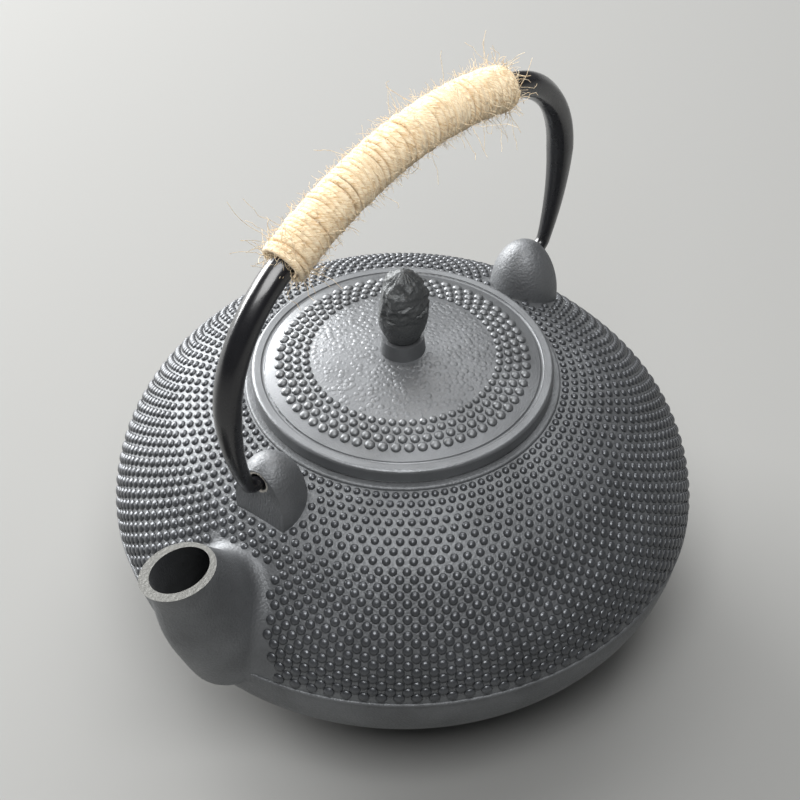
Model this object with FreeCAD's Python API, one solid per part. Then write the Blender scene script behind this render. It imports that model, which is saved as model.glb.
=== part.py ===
"""Cast iron teapot: hobnail pot, lift-off lid, steel infuser and a jute-wrapped swinging bail.

Sizes are in millimetres. The pot stands on the plane z = 0 with its axis on Z, and pours towards +X.
"""
import FreeCAD, Part
import math
import os

V = FreeCAD.Vector
UP = V(0, 0, 1)
ACROSS = V(0, 1, 0)
AHEAD = V(1, 0, 0)
FULL_TURN = 360.0

# Pot: belly, shoulder and foot
body_radius = 83.0
parting_height = 43.0
body_wall = 4.0
belly_arc = 36.0
flank_tilt = 39.0
flank_length = 7.0
shoulder_rise = 43.6
under_arc = 28.0
under_tilt = 50.0
under_length = 4.0
foot_radius = 42.0
foot_height = 1.5
ridge_radius = 0.6

# Pot: mouth and rim
rim_radius = 44.5
rim_width = 5.0
rim_rise = 0.9
rim_round = 0.7
mouth_chamfer = 0.4
neck_height = 4.4

# Pot: spout, from the middle of its root in the belly to the middle of its mouth
spout_root_inset = 11.0
spout_overhang = 11.1
spout_mouth_rise = 42.6
spout_root_length = 34.0
spout_mouth_length = 23.4
spout_root_width = 32.0
spout_mouth_width = 18.1
spout_root_tilt = 33.0
spout_wall = 2.3
spout_lip_shift = 0.7
spout_neck = 0.9
spout_sections = 6
spout_blend = 4.0

# Pot: ears for the bail
ear_rim_gap = 17.0
ear_radius = 9.9
ear_face_offset = 5.0
ear_half_height = 16.8
ear_crown = 5.9
ear_hole_rise = 5.9
ear_hole_depth = 5.5

# Infuser
infuser_sheet = 0.6
infuser_clearance = 0.8
infuser_flange_inset = 0.4
infuser_collar_depth = 6.0
basket_wall = 0.5
basket_depth = 52.0
basket_weld_gap = 0.05
basket_hole_diameter = 3.0
basket_hole_columns = 24
basket_hole_rows = 5
basket_hole_pitch = 7.0
base_lip_height = 2.5

# Lid
lid_inset = 2.0
lid_edge_height = 3.9
lid_round = 1.0
lid_groove_inset = 3.2
lid_groove_width = 1.3
lid_groove_depth = 0.5
lid_crown = 6.6
lid_plate = 3.2
lid_skirt_depth = 7.0
lid_skirt_wall = 2.5
lid_skirt_clearance = 0.6

# Knob and its fixing
knob_radius = 7.3
knob_height = 23.5
knob_wide_height = 9.5
knob_base_radius = 3.8
knob_tip_radius = 2.6
knob_tip_height = 1.5
collar_radius = 6.4
collar_top_radius = 5.9
collar_height = 4.6
stud_radius = 2.5
stud_clearance = 0.1
stud_tail = 1.0
washer_radius = 6.0
washer_thickness = 1.0
nut_flats = 8.0
nut_height = 4.0

# Bail
bail_bow = 10.1
bail_wide_rise = 32.6
bail_crown_rise = 78.2
bail_crown_arc = 118.0
bail_radius = 3.9
hook_radius = 2.0
hook_bend = 4.0
hook_standoff = 0.5
hook_end_gap = 0.8
hook_play = 0.8

# Jute winding on the bail's crown
wrap_share = 0.98
underlay_wall = 0.75
wrap_clearance = 0.1
strand_radius = 0.9
wrap_turns = 24

# Heights and radii that follow from the sizes above
rim_top = parting_height + shoulder_rise + rim_rise
mouth_radius = rim_radius - rim_width
lid_radius = rim_radius - lid_inset
lid_seat = rim_top + infuser_sheet
lid_top = lid_seat + lid_edge_height
lid_centre_top = lid_top + lid_crown
lid_underside = lid_top - lid_plate
lid_ceiling = lid_centre_top - lid_plate
washer_seat_radius = washer_radius + lid_round
collar_top = lid_centre_top + collar_height
infuser_collar_radius = mouth_radius - infuser_clearance
basket_radius = infuser_collar_radius - infuser_sheet - basket_weld_gap
basket_top = rim_top - infuser_collar_depth / 2
basket_bottom = basket_top - basket_depth
lid_skirt_radius = basket_radius - basket_wall - lid_skirt_clearance
stud_hole_radius = stud_radius + stud_clearance
ear_face_reach = rim_radius + ear_rim_gap
ear_hole_radius = hook_radius + hook_play
hinge_height = rim_top + ear_hole_rise
bail_half_span = ear_face_reach + bail_bow
bail_wide_height = hinge_height + bail_wide_rise
bail_crown_centre = hinge_height + bail_crown_rise - bail_crown_arc
bail_gap = bail_crown_arc - bail_half_span
bail_drop = bail_wide_height - bail_crown_centre
bail_shoulder_reach = (bail_gap ** 2 + bail_drop ** 2) / (2 * bail_gap)
bail_shoulder_arc = bail_crown_arc - bail_shoulder_reach
bail_spread = math.acos(bail_drop / bail_shoulder_reach)
wrap_half_angle = bail_spread * wrap_share
underlay_inner = bail_radius + wrap_clearance
underlay_outer = underlay_inner + underlay_wall
strand_orbit = underlay_outer + wrap_clearance + strand_radius
strand_half_angle = wrap_half_angle - strand_radius / bail_crown_arc


def point(radius, height):
    return V(radius, 0, height)


def lines(points):
    """Straight edges through a row of points."""
    return [Part.LineSegment(a, b).toShape() for a, b in zip(points, points[1:])]


def arc(start, middle, end):
    return Part.Arc(start, middle, end).toShape()


def turned(edges, axis_at=V(0, 0, 0)):
    """Solid of revolution about a vertical axis from the edges of a closed outline."""
    outline = Part.Wire(Part.__sortEdges__(edges))
    return Part.Face(outline).revolve(axis_at, UP, FULL_TURN)


def ring(inner, outer, bottom, top):
    corners = [point(inner, bottom), point(outer, bottom), point(outer, top), point(inner, top)]
    return turned(lines(corners + corners[:1]))


def belly_side(belly_radius, tilt, length, end, side, inset):
    """Belly arc, straight flank and tangent arc to the end point, moved inwards by the inset.

    The side is +1 above the parting line and -1 below it. Returns the edges and their last point.
    """
    def facing(angle):
        return V(math.cos(math.radians(angle)), 0, side * math.sin(math.radians(angle)))

    centre = point(body_radius - belly_radius, parting_height)
    depth = belly_radius - inset
    out = facing(tilt)
    along = V(-side * out.z, 0, side * out.x)
    flank_end = centre + out * belly_radius + along * length
    chord = end - flank_end
    wide_radius = -chord.dot(chord) / (2 * chord.dot(out))
    wide_centre = flank_end - out * wide_radius
    end_out = (end - wide_centre) * (1 / wide_radius)
    middle_out = (out + end_out).normalize()
    inner_flank_end = flank_end - out * inset
    inner_end = end - end_out * inset
    start = centre + facing(0) * depth
    flank_start = centre + out * depth
    edges = [
        arc(start, centre + facing(tilt / 2) * depth, flank_start),
        Part.LineSegment(flank_start, inner_flank_end).toShape(),
        arc(inner_flank_end, wide_centre + middle_out * (wide_radius - inset), inner_end),
    ]
    return edges, inner_end


def body_sides(inset):
    """Both halves of the pot's outline, with the end points at the shoulder and at the foot."""
    shoulder = point(rim_radius, parting_height + shoulder_rise)
    foot = point(foot_radius, foot_height)
    upper, upper_end = belly_side(belly_arc, flank_tilt, flank_length, shoulder, 1, inset)
    lower, lower_end = belly_side(under_arc, under_tilt, under_length, foot, -1, inset)
    return upper + lower, upper_end, lower_end


def pot_outside():
    """The pot's outer form as one full solid, with its rounded rim and its flat foot."""
    edges, shoulder, foot = body_sides(0)
    diagonal = rim_round * (1 - math.sqrt(0.5))
    edges += lines([shoulder, point(rim_radius, rim_top - rim_round)])
    edges.append(arc(point(rim_radius, rim_top - rim_round),
                     point(rim_radius - diagonal, rim_top - diagonal),
                     point(rim_radius - rim_round, rim_top)))
    edges += lines([point(rim_radius - rim_round, rim_top), point(0, rim_top), point(0, 0),
                    point(foot_radius, 0), foot])
    return turned(edges)


def pot_cavity():
    """The space inside the pot, open through the mouth."""
    edges, shoulder, floor_edge = body_sides(body_wall)
    above = rim_top + 1
    edges += lines([shoulder, point(mouth_radius, rim_top - neck_height),
                    point(mouth_radius, rim_top - mouth_chamfer),
                    point(mouth_radius + mouth_chamfer + 1, above), point(0, above),
                    point(0, floor_edge.z), floor_edge])
    return turned(edges)


def neck_share(share):
    """Share of the neck's full depth, drawn in below the spout's lip."""
    return math.sin(math.pi * max(0, (share - 0.6) / 0.4))


def spout_section(share, inset):
    """Oval across the spout, at a share of the way from its root to its mouth."""
    left = 1 - share
    fullness = 0.5 + 0.5 * math.cos(math.pi * share ** 1.5)
    half_length = (spout_mouth_length + (spout_root_length - spout_mouth_length) * fullness) / 2 - inset
    half_width = (spout_mouth_width + (spout_root_width - spout_mouth_width) * left ** 1.2) / 2 - inset
    tilt = math.radians(spout_root_tilt) * left ** 0.6
    reach = body_radius - spout_root_inset + (spout_root_inset + spout_overhang) * share
    shift = spout_lip_shift if inset else spout_neck * neck_share(share) / 2
    half_length -= 0 if inset else spout_neck * neck_share(share) / 2
    middle = point(reach - shift, parting_height + spout_mouth_rise * share)
    lengthways = V(math.cos(tilt), 0, -math.sin(tilt)) * half_length
    oval = Part.Ellipse(middle + lengthways, middle + ACROSS * half_width, middle)
    return Part.Wire(oval.toShape())


def spout_form(inset):
    """Loft through the spout's ovals."""
    return Part.makeLoft([spout_section(i / (spout_sections - 1), inset) for i in range(spout_sections)], True)


def spout_bore():
    """Hollow of the spout: it leaves a floor one wall thick at the root, and runs on past the lip."""
    tilt = math.radians(spout_root_tilt)
    floor_rise = V(math.sin(tilt), 0, math.cos(tilt)) * spout_wall
    root = Part.Face(spout_section(0, 0))
    root.translate(-floor_rise)
    floor = root.extrude(floor_rise * 2)
    past_lip = Part.Face(spout_section(1, spout_wall)).extrude(UP * spout_wall)
    return spout_form(spout_wall).cut(floor).fuse(past_lip)


def ear():
    """Egg-shaped lug with a flat face that looks away from the pot's axis."""
    axis_reach = ear_face_reach - ear_face_offset
    centre = point(axis_reach, hinge_height + ear_crown - ear_half_height)
    top = centre + UP * ear_half_height
    bottom = centre - UP * ear_half_height
    curve = Part.Ellipse(top, centre + AHEAD * ear_radius, centre)
    side = arc_of_ellipse(curve, top, bottom)
    egg = turned([side] + lines([bottom, top]), centre)
    front = Part.makeBox(ear_radius, 2 * ear_radius, 2 * ear_half_height,
                         V(ear_face_reach, -ear_radius, bottom.z))
    return egg.cut(front)


def arc_of_ellipse(curve, start, end):
    """The half of an upright ellipse that lies on the +X side of its long axis."""
    first, last = curve.parameter(start), curve.parameter(end)
    half = Part.ArcOfEllipse(curve, first, last).toShape()
    if half.CenterOfMass.x < curve.Center.x:
        half = Part.ArcOfEllipse(curve, last, first + 2 * math.pi).toShape()
    return half


def ear_hole():
    return Part.makeCylinder(ear_hole_radius, ear_hole_depth + 1,
                             point(ear_face_reach - ear_hole_depth, hinge_height), AHEAD)


def both_sides(shape):
    """A shape and its copy half a turn round the pot's axis."""
    other = shape.copy()
    other.rotate(V(0, 0, 0), UP, FULL_TURN / 2)
    return [shape, other]


def pot_body():
    outside = pot_outside()
    spout = spout_form(0)
    outside = outside.fuse(spout)
    outside = outside.makeFillet(spout_blend, spout_root_edges(outside))
    ridge = Part.makeTorus(body_radius, ridge_radius, point(0, parting_height))
    outside = outside.fuse([ridge] + both_sides(ear()))
    hollows = [pot_cavity(), spout_bore()] + both_sides(ear_hole())
    return outside.cut(hollows).removeSplitter()


def spout_root_edges(shape):
    """The edges where the spout's side meets the pot."""
    lofted = [face for face in shape.Faces if face.Surface.TypeId == "Part::GeomBSplineSurface"]
    mouth_level = parting_height + spout_mouth_rise - ridge_radius
    edges = []
    for face in shape.Faces:
        if face.Surface.TypeId == "Part::GeomBSplineSurface":
            continue
        for edge in face.Edges:
            shared = any(edge.isSame(other) for side in lofted for other in side.Edges)
            if shared and edge.CenterOfMass.z < mouth_level:
                edges.append(edge)
    return edges


def crown_arc(radius, rise, base):
    """Shallow arc from a circle round the axis up to its top on the axis."""
    curve = (radius ** 2 + rise ** 2) / (2 * rise)
    half = math.asin(radius / curve) / 2
    middle = point(curve * math.sin(half), base + rise - curve * (1 - math.cos(half)))
    return arc(point(radius, base), middle, point(0, base + rise))


def dome_arc(outer, low, inner, high):
    """Arc of a dome round the axis, from a low outer circle up to a high inner one."""
    centre = (outer ** 2 + low ** 2 - inner ** 2 - high ** 2) / (2 * (low - high))
    curve = math.hypot(outer, low - centre)
    half_way = (outer + inner) / 2
    middle = point(half_way, centre + math.sqrt(curve ** 2 - half_way ** 2))
    return arc(point(outer, low), middle, point(inner, high))


def lid():
    groove_middle = lid_radius - lid_groove_inset
    groove_outer = groove_middle + lid_groove_width / 2
    groove_inner = groove_middle - lid_groove_width / 2
    diagonal = lid_round * (1 - math.sqrt(0.5))
    edge_round = arc(point(lid_radius, lid_top - lid_round),
                     point(lid_radius - diagonal, lid_top - diagonal),
                     point(lid_radius - lid_round, lid_top))
    groove = arc(point(groove_outer, lid_top), point(groove_middle, lid_top - lid_groove_depth),
                 point(groove_inner, lid_top))
    crown = dome_arc(groove_inner, lid_top, collar_radius, lid_centre_top)
    skirt_inner = lid_skirt_radius - lid_skirt_wall
    skirt_bottom = lid_seat - lid_skirt_depth
    hollow = dome_arc(skirt_inner, lid_underside, washer_seat_radius, lid_ceiling)
    edges = [edge_round, groove, crown, hollow]
    edges += lines([point(lid_radius - lid_round, lid_top), point(groove_outer, lid_top)])
    edges += lines([point(collar_radius, lid_centre_top), point(0, lid_centre_top), point(0, lid_ceiling),
                    point(washer_seat_radius, lid_ceiling)])
    edges += lines([point(skirt_inner, lid_underside), point(skirt_inner, skirt_bottom),
                    point(lid_skirt_radius, skirt_bottom),
                    point(lid_skirt_radius, lid_seat), point(lid_radius, lid_seat),
                    point(lid_radius, lid_top - lid_round)])
    stud_hole = Part.makeCylinder(stud_hole_radius, 2 * lid_plate, point(0, lid_ceiling - lid_plate / 2))
    return turned(edges).cut(stud_hole)


def bulge(wide_radius, wide_height, end_radius, end_height):
    """Arc that stands upright at the widest point and runs to the end point."""
    inset = wide_radius - end_radius
    rise = end_height - wide_height
    radius = (inset ** 2 + rise ** 2) / (2 * inset)
    half = math.asin(abs(rise) / radius) / 2
    side = math.copysign(1, rise)
    middle = point(wide_radius - radius * (1 - math.cos(half)),
                   wide_height + side * radius * math.sin(half))
    return arc(point(wide_radius, wide_height), middle, point(end_radius, end_height))


def knob_collar():
    inner = stud_hole_radius
    corners = [point(inner, lid_centre_top), point(collar_radius, lid_centre_top),
               point(collar_top_radius, collar_top), point(inner, collar_top)]
    return turned(lines(corners + corners[:1]))


def lid_knob():
    """Bud with its threaded stud, which runs down through the collar, lid, washer and nut."""
    wide = collar_top + knob_wide_height
    top = collar_top + knob_height
    tip_edge = top - knob_tip_height
    stud_end = lid_ceiling - washer_thickness - nut_height - stud_tail
    edges = [bulge(knob_radius, wide, knob_base_radius, collar_top),
             bulge(knob_radius, wide, knob_tip_radius, tip_edge),
             crown_arc(knob_tip_radius, knob_tip_height, tip_edge)]
    edges += lines([point(0, top), point(0, stud_end), point(stud_radius, stud_end),
                    point(stud_radius, collar_top), point(knob_base_radius, collar_top)])
    return turned(edges)


def knob_washer():
    return ring(stud_hole_radius, washer_radius, lid_ceiling - washer_thickness, lid_ceiling)


def knob_nut():
    top = lid_ceiling - washer_thickness
    across_corners = nut_flats / math.cos(math.pi / 6) / 2
    corners = [V(across_corners, 0, 0)]
    for corner in range(6):
        angle = math.radians(60 * (corner + 1))
        corners.append(V(across_corners * math.cos(angle), across_corners * math.sin(angle), 0))
    prism = Part.Face(Part.Wire(lines(corners))).extrude(UP * nut_height)
    prism.translate(point(0, top - nut_height))
    return prism.cut(Part.makeCylinder(stud_hole_radius, nut_height, point(0, top - nut_height)))


def infuser_rim():
    """Flange that lies on the pot's rim, with a collar that hangs in the mouth."""
    inner = infuser_collar_radius - infuser_sheet
    flange = lid_radius - infuser_flange_inset
    corners = [point(inner, rim_top + infuser_sheet), point(flange, rim_top + infuser_sheet),
               point(flange, rim_top), point(infuser_collar_radius, rim_top),
               point(infuser_collar_radius, rim_top - infuser_collar_depth),
               point(inner, rim_top - infuser_collar_depth)]
    return turned(lines(corners + corners[:1]))


def infuser_basket():
    """Straight sheet wall with staggered rows of holes."""
    wall = ring(basket_radius - basket_wall, basket_radius, basket_bottom, basket_top)
    step = FULL_TURN / basket_hole_columns
    middle = (basket_bottom + rim_top - infuser_collar_depth) / 2
    holes = []
    for row in range(basket_hole_rows):
        height = middle + (row - (basket_hole_rows - 1) / 2) * basket_hole_pitch
        for column in range(basket_hole_columns):
            angle = step * (column + 0.5 * (row % 2))
            hole = Part.makeCylinder(basket_hole_diameter / 2, 4 * basket_wall,
                                     point(basket_radius - 2 * basket_wall, height), AHEAD)
            hole.rotate(V(0, 0, 0), UP, angle)
            holes.append(hole)
    return wall.cut(holes)


def infuser_base():
    """Pressed dish that closes the bottom of the basket."""
    lip = basket_radius - basket_wall - basket_weld_gap
    dish = ring(lip - infuser_sheet, lip, basket_bottom, basket_bottom + base_lip_height)
    floor = Part.makeCylinder(lip - infuser_sheet / 2, infuser_sheet, point(0, basket_bottom))
    return dish.fuse(floor).removeSplitter()


def rod(path, start_radius, end_radius):
    """Round rod along one edge, straight or tapered."""
    sections = []
    for at, radius in ((path.FirstParameter, start_radius), (path.LastParameter, end_radius)):
        circle = Part.Circle(path.valueAt(at), path.tangentAt(at), radius)
        sections.append(Part.Wire(circle.toShape()))
    if start_radius == end_radius:
        sections = sections[:1]
    return Part.Wire(path).makePipeShell(sections, True, False)


def bail_handle():
    """Arched rod: crown, shoulders, tapered legs and hooks that point into the ears."""
    shoulder_centre = point(bail_shoulder_reach * math.sin(bail_spread), bail_wide_height)
    shoulder_lean = math.pi / 4 + bail_spread / 2
    shoulder_out = V(math.sin(shoulder_lean), 0, math.cos(shoulder_lean))
    crown_end = point(bail_crown_arc * math.sin(bail_spread),
                      bail_crown_centre + bail_crown_arc * math.cos(bail_spread))
    widest = point(bail_half_span, bail_wide_height)
    hook_start = ear_face_reach + hook_standoff
    inset = bail_half_span - hook_start
    fall = bail_wide_rise - hook_bend
    leg_arc = (inset ** 2 + fall ** 2 - hook_bend ** 2) / (2 * (inset - hook_bend))
    leg_centre = point(bail_half_span - leg_arc, bail_wide_height)
    hook_centre = point(hook_start, hinge_height + hook_bend)
    leg_out = (hook_centre - leg_centre).normalize()
    leg_end = leg_centre + leg_out * leg_arc
    leg_middle = leg_centre + (leg_out + AHEAD).normalize() * leg_arc
    hook_middle = hook_centre + (leg_out - UP).normalize() * hook_bend
    hook_foot = point(hook_start, hinge_height)
    tip_end = point(ear_face_reach - ear_hole_depth + hook_end_gap, hinge_height)
    shoulder = arc(crown_end, shoulder_centre + shoulder_out * bail_shoulder_arc, widest)
    leg = arc(widest, leg_middle, leg_end)
    hook = arc(leg_end, hook_middle, hook_foot)
    tip = Part.LineSegment(hook_foot, tip_end).toShape()
    side = [rod(shoulder, bail_radius, bail_radius), rod(leg, bail_radius, hook_radius),
            rod(hook, hook_radius, hook_radius), rod(tip, hook_radius, hook_radius)]
    far_end = point(-crown_end.x, crown_end.z)
    crown = rod(arc(far_end, point(0, bail_crown_centre + bail_crown_arc), crown_end),
                bail_radius, bail_radius)
    pieces = [piece for part in side for piece in both_sides(part)]
    return crown.fuse(pieces).removeSplitter()


def jute_underlay():
    """Inner layers of jute as a sleeve round the crown of the bail."""
    middle = point(0, bail_crown_centre + bail_crown_arc)
    section = Part.Face(Part.Wire(Part.Circle(middle, AHEAD, underlay_outer).toShape()))
    bore = Part.Face(Part.Wire(Part.Circle(middle, AHEAD, underlay_inner).toShape()))
    pivot = point(0, bail_crown_centre)
    sleeve_section = section.cut(bore)
    sleeve_section.rotate(pivot, ACROSS, -math.degrees(wrap_half_angle))
    return sleeve_section.revolve(pivot, ACROSS, 2 * math.degrees(wrap_half_angle))


def strand_point(turn):
    """A point of the winding's centreline and the direction of the strand there."""
    lean = strand_half_angle * (2 * turn / wrap_turns - 1)
    lean_rate = strand_half_angle * 2 / wrap_turns
    spin = 2 * math.pi * turn
    outward = V(math.sin(lean), 0, math.cos(lean))
    forward = V(math.cos(lean), 0, -math.sin(lean))
    round_rod = outward * math.cos(spin) + ACROSS * math.sin(spin)
    orbit = bail_crown_arc + strand_orbit * math.cos(spin)
    place = point(0, bail_crown_centre) + outward * bail_crown_arc + round_rod * strand_orbit
    sweep = (ACROSS * math.cos(spin) - outward * math.sin(spin)) * (2 * math.pi * strand_orbit)
    return place, (sweep + forward * (orbit * lean_rate)).normalize()


def arc_from(start, direction, end):
    """Arc that leaves a point in a direction and passes through another point."""
    half = (end - start).Length / 2
    along = (end - start).normalize()
    bend = direction.getAngle(along)
    sideways = (direction - along * direction.dot(along)).normalize()
    return arc(start, start + along * half + sideways * (half * math.tan(bend / 2)), end)


def biarc(start, start_way, end, end_way):
    """Two tangent arcs between two points with a direction at each."""
    chord = end - start
    ways = start_way + end_way
    square = 2 * (1 - start_way.dot(end_way))
    linear = 2 * chord.dot(ways)
    reach = (-linear + math.sqrt(linear ** 2 + 4 * square * chord.dot(chord))) / (2 * square)
    join = (start + start_way * reach + end - end_way * reach) * 0.5
    second = arc_from(end, end_way * -1, join)
    return [arc_from(start, start_way, join), second]


def strand_gap():
    """Least clear space between the strand and its own other turns."""
    per_turn = 24
    places = [strand_point(i / per_turn)[0] for i in range(wrap_turns * per_turn + 1)]
    least = min((places[i] - places[j]).Length
                for i in range(len(places))
                for j in range(i + per_turn // 2, min(len(places), i + 2 * per_turn)))
    return least - 2 * strand_radius


def jute_wrap():
    """Outer layer of jute: one strand wound round the underlay in quarter-turn biarcs."""
    edges = []
    for quarter in range(4 * wrap_turns):
        start, start_way = strand_point(quarter / 4)
        end, end_way = strand_point((quarter + 1) / 4)
        edges += biarc(start, start_way, end, end_way)
    place, way = strand_point(0)
    section = Part.Wire(Part.Circle(place, way, strand_radius).toShape())
    return Part.Wire(edges).makePipeShell([section], True, False)


os.makedirs("parts", exist_ok=True)
for make in (pot_body, lid, knob_collar, lid_knob, knob_washer, knob_nut, infuser_rim, infuser_basket,
             infuser_base, bail_handle, jute_underlay, jute_wrap):
    make().exportStep("parts/" + make.__name__ + ".step")
print("least gap between turns of jute: %.2f mm" % strand_gap())
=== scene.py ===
"""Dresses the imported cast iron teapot: hobnails, lid relief, bud knob, bail, jute grip and infuser."""
import functools
import math

import bmesh
import bpy
from mathutils import Matrix, Vector, noise


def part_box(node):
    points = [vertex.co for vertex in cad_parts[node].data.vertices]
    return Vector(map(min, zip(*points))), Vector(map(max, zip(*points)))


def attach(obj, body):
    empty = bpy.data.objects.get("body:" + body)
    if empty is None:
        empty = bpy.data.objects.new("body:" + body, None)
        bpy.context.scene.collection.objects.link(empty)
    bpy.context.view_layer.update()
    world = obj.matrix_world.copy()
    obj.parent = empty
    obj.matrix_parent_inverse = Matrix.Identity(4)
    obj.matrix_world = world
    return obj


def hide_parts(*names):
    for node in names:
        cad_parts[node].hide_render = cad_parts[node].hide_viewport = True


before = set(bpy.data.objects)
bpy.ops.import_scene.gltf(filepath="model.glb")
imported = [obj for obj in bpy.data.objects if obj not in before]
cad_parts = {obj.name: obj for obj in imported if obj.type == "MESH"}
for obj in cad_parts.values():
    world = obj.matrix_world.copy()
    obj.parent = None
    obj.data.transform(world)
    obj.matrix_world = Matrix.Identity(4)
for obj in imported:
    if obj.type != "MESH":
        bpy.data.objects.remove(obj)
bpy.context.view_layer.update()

bl_info = {
    "name": "Cast Iron Teapot",
    "version": (1, 0, 0),
    "blender": (4, 5, 0),
    "location": "3D View > Sidebar > Teapot",
    "description": "Builds the looks of a hobnail cast iron teapot round its packed frame",
    "category": "Object",
}

MM = 0.001
ACROSS = Vector((0, 1, 0))
UP = Vector((0, 0, 1))
FULL_TURN = 2 * math.pi
QUARTER_TURN = math.pi / 2

# Where the names of node kinds begin, and the kinds of the math nodes with their operations
PREFIXES = ("ShaderNode", "GeometryNode", "FunctionNode", "Node")
(ADD, SUBTRACT, MULTIPLY, DIVIDE, MULTIPLY_ADD, POWER, FLOOR, MODULO, MINIMUM, MAXIMUM, ABSOLUTE, SINE,
 COSINE, GREATER, LESS, COMPARE) = [("Math", operation) for operation in (
     "ADD SUBTRACT MULTIPLY DIVIDE MULTIPLY_ADD POWER FLOOR MODULO MINIMUM MAXIMUM ABSOLUTE SINE COSINE "
     "GREATER_THAN LESS_THAN COMPARE").split()]
V_ADD, V_SUBTRACT, V_MULTIPLY, V_SCALE, V_LENGTH, V_CROSS = [
    ("VectorMath", operation) for operation in "ADD SUBTRACT MULTIPLY SCALE LENGTH CROSS_PRODUCT".split()]
SOCKETS = {int: "NodeSocketInt", float: "NodeSocketFloat"}

# Soft lamps: name, place, width, height and watts
LAMPS = (
    ("window", (-0.08, -0.98, 0.37), 0.9, 0.6, 28.0),
    ("overhead", (-0.45, -0.37, 1.1), 1.3, 1.3, 15.0),
    ("front", (0.42, 0.34, 1.1), 0.6, 0.6, 11.0),
)
LAMP_AIM = Vector((0, 0, 0.08))


def linear(code):
    """Linear RGBA of an sRGB hex value."""
    shares = [int(code[i:i + 2], 16) / 255 for i in (1, 3, 5)]
    return tuple(c / 12.92 if c <= 0.04045 else ((c + 0.055) / 1.055) ** 2.4 for c in shares) + (1.0,)


def maker(kind, convert=lambda value: value, **fixed):
    """A function that makes properties of one kind from a name, a description and a default."""
    return lambda name, description, default: kind(
        name=name, description=description, default=convert(default), **fixed)


# Lengths are given in millimetres, angles in degrees and colours as sRGB hex values.
metres = maker(bpy.props.FloatProperty, lambda mm: mm * MM, unit="LENGTH", subtype="DISTANCE", precision=5)
degrees = maker(bpy.props.FloatProperty, math.radians, subtype="ANGLE")
fraction = maker(bpy.props.FloatProperty, subtype="FACTOR", min=0, max=1)
number = maker(bpy.props.IntProperty, min=1)
focal_length = maker(bpy.props.FloatProperty, unit="CAMERA")
colour = maker(bpy.props.FloatVectorProperty, lambda code: linear(code)[:3], subtype="COLOR", size=3,
               min=0, max=1)


class TeapotPot(bpy.types.PropertyGroup):
    """Outline of the pot and its hobnails."""
    belly_radius: metres("Belly radius", "Radius at the parting line", 83.0)
    parting_height: metres("Parting height", "Height of the parting line", 43.0)
    belly_arc: metres("Belly arc", "Radius of the arc above the parting line", 36.0)
    flank_tilt: degrees("Flank tilt", "Lean of the straight flank", 39.0)
    flank_length: metres("Flank length", "Length of the straight flank", 7.0)
    rim_radius: metres("Rim radius", "Radius where the shoulder meets the rim", 44.5)
    shoulder_height: metres("Shoulder height", "Height where the shoulder meets the rim", 86.6)
    nail_rows: number("Nail rows", "Rows from rim to parting line", 26)
    nails_per_row: number("Nails per row", "Nails round the pot", 108)
    wide_rows: number("Wide rows", "Rows near the rim that stand further apart", 8)
    nail_start: metres("First row", "From the rim to the first row, along the shoulder", 1.8)
    nail_step: metres("Row spacing", "Distance between rows on the flank", 2.15)
    nail_extra: metres("Shoulder spacing", "Added distance between the rows near the rim", 0.55)
    nail_radius_top: metres("Nail radius, top", "Radius of the nails at the rim", 1.12)
    nail_radius_low: metres("Nail radius, low", "Radius of the nails at the parting line", 1.72)
    nail_height: metres("Nail height", "Height of a nail from its seat", 0.95)
    nail_sunk: metres("Nail seat", "How deep the nails sit in the casting", 0.12)
    spout_room: metres("Spout room", "Half the width left free at the spout's root", 21.0)
    spout_taper: fraction("Spout taper", "How fast the free width shrinks with height", 0.36)
    spout_top: metres("Spout top", "Height above which nails run on behind the spout", 72.6)


class TeapotLid(bpy.types.PropertyGroup):
    """Relief on the lid and the form of its knob."""
    top_height: metres("Lid top", "Height of the lid's edge", 92.0)
    crown: metres("Crown", "Rise from the groove to the knob's seat", 6.6)
    seat_radius: metres("Seat radius", "Flat seat of the knob's collar", 6.4)
    groove_radius: metres("Groove radius", "Inner edge of the groove", 38.65)
    band_radius: metres("Band radius", "Outermost row of nails", 34.6)
    band_step: metres("Band step", "Distance between rows of nails", 2.6)
    band_rows: number("Band rows", "Rows of nails on the lid", 4)
    band_nails: number("Nails per row", "Nails round the lid", 60)
    nail_radius: metres("Nail radius", "Radius of the outermost nails", 1.55)
    nail_taper: fraction("Nail taper", "Innermost nail radius over the outermost", 0.76)
    nail_height: metres("Nail height", "Height of a nail from its seat", 1.0)
    nail_sunk: metres("Nail seat", "How deep the nails sit in the lid", 0.1)
    pebble_radius: metres("Pebble radius", "Radius of the low pebbles", 1.15)
    pebble_height: metres("Pebble height", "Height of a pebble, most of it sunk", 0.3)
    pebble_sunk: metres("Pebble seat", "How deep the pebbles sit in the lid", 0.21)
    pebble_spacing: metres("Pebble spacing", "Least distance between pebbles", 1.2)
    knob_radius: metres("Knob radius", "Widest radius of the bud", 7.3)
    knob_bottom: metres("Knob bottom", "Height where the bud meets its collar", 103.2)
    knob_height: metres("Knob height", "Height of the bud", 23.5)
    knob_wide: metres("Knob widest", "Height of the widest point above the bottom", 10.8)
    knob_facet: metres("Knob facet", "From the bud's axis to its one flat side", 6.2)
    stud_radius: metres("Stud radius", "Radius of the knob's stud", 2.5)
    stud_bottom: metres("Stud bottom", "Height of the stud's lower end", 89.4)


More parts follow.
